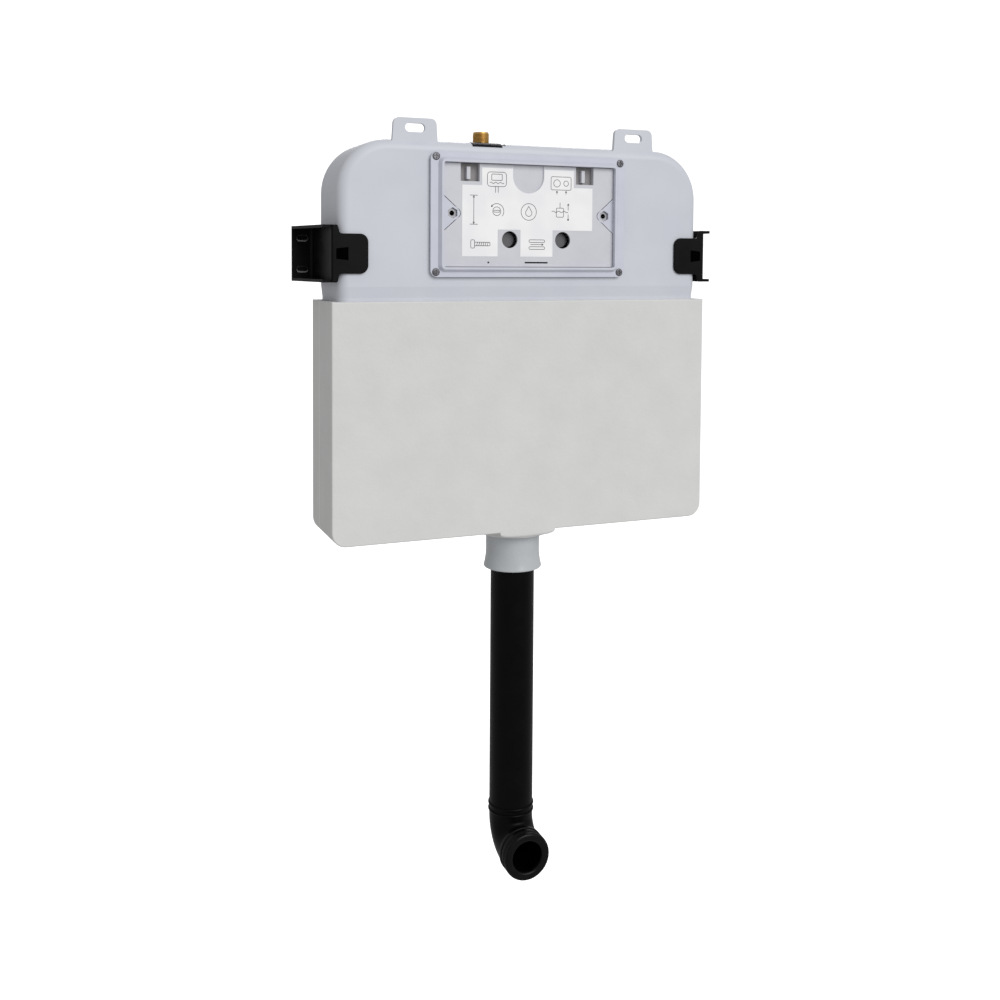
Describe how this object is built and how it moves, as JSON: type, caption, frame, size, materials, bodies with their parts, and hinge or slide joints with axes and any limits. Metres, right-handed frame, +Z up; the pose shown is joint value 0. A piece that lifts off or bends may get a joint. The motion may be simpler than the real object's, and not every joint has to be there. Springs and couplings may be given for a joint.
{
  "type": "toilet cistern",
  "caption": "Slim concealed dual-flush cistern with insulated lower tank, front service opening, side wall brackets, top inlet and a flush pipe with elbow.",
  "frame": {"origin": "midway between the two hanging slots, on the back face of their tabs", "axes": "+X to the right seen from the front, +Y back to the wall, +Z up"},
  "size_m": [0.4414, 0.0856, 0.7624],
  "materials": {
    "tank_plastic": "satin blow-moulded polyethylene",
    "jacket_foam": "moulded polystyrene foam",
    "frame_plastic": "satin moulded plastic",
    "black_plastic": "satin moulded plastic",
    "pipe_plastic": "satin extruded polyethylene",
    "collar_plastic": "smooth moulded plastic",
    "white_plastic": "satin moulded plastic",
    "blue_plastic": "satin moulded plastic",
    "brass": "turned brass",
    "zinc_steel": "bright zinc plated",
    "rubber": "moulded rubber",
    "label_paper": "coated paper"
  },
  "bodies": {
    "cistern": {"tank": "tank_plastic", "jacket_front": "jacket_foam", "jacket_rear": "jacket_foam", "access_frame": "frame_plastic", "frame_gasket": "rubber", "frame_screws": "zinc_steel", "plate_fixing_nuts": "zinc_steel", "bracket_left": "black_plastic", "bracket_right": "black_plastic", "inlet_plate": "black_plastic", "inlet_gasket": "rubber", "stop_valve_body": "brass", "supply_tube": "white_plastic", "union_nuts": "white_plastic", "fill_valve_body": "white_plastic", "fill_valve_cap": "blue_plastic", "float_arm_pin": "zinc_steel", "seat_gasket": "rubber", "valve_seat": "white_plastic", "valve_basket": "white_plastic", "lever_carrier": "white_plastic", "lever_pin": "zinc_steel", "outlet_collar": "collar_plastic", "pipe_seal_ring": "rubber", "flush_pipe": "pipe_plastic", "pipe_end_seal": "rubber"},
    "cover": {"cover_plate": "frame_plastic", "instruction_label": "label_paper"},
    "full_lever": {"full_flush_lever": "black_plastic"},
    "half_lever": {"half_flush_lever": "black_plastic"},
    "full_lift": {"full_flush_sleeve": "white_plastic", "full_flush_seal": "rubber", "full_lift_rod": "blue_plastic"},
    "half_lift": {"overflow_tube": "white_plastic", "half_flush_seal": "rubber", "half_lift_rod": "white_plastic"},
    "stop_spindle": {"stop_valve_spindle": "brass", "stop_valve_knob": "black_plastic"},
    "float": {"fill_float": "blue_plastic", "float_rod": "white_plastic"},
    "arm": {"float_arm": "white_plastic"}
  },
  "joints": [
    {"name": "full_flush_push", "type": "hinge", "parent": "cistern", "child": "full_lever", "pos_m": [0.03535, 0.004, -0.0733], "axis": [1, 0, 0], "range_deg": [0, 22]},
    {"name": "half_flush_push", "type": "hinge", "parent": "cistern", "child": "half_lever", "pos_m": [-0.02195, 0.004, -0.0733], "axis": [1, 0, 0], "range_deg": [0, 22]},
    {"name": "full_flush_lift", "type": "slide", "parent": "cistern", "child": "full_lift", "axis": [0, 0, 1], "range_m": [0, 0.01383]},
    {"name": "half_flush_lift", "type": "slide", "parent": "full_lift", "child": "half_lift", "axis": [0, 0, 1], "range_m": [0, 0.01383]},
    {"name": "float_rise", "type": "slide", "parent": "cistern", "child": "float", "axis": [0, 0, 1], "range_m": [0, 0.012]},
    {"name": "float_arm_turn", "type": "hinge", "parent": "cistern", "child": "arm", "pos_m": [-0.103, 0.013, -0.0507], "axis": [0, 1, 0], "range_deg": [0, 25]},
    {"name": "stop_valve_turn", "type": "hinge", "parent": "cistern", "child": "stop_spindle", "pos_m": [-0.0375, 0.015, -0.0437], "axis": [0, 1, 0], "range_deg": [0, 90]},
    {"name": "cover_pull", "type": "slide", "parent": "cistern", "child": "cover", "axis": [0, -1, 0], "range_m": [0, 0.12]}
  ],
  "couplings": [
    {"joint": "full_flush_push", "follows": "full_flush_lift", "rad_per_m": 27.76},
    {"joint": "half_flush_push", "follows": "half_flush_lift", "rad_per_m": 27.76},
    {"joint": "float_arm_turn", "follows": "float_rise", "rad_per_m": 35.714}
  ]
}
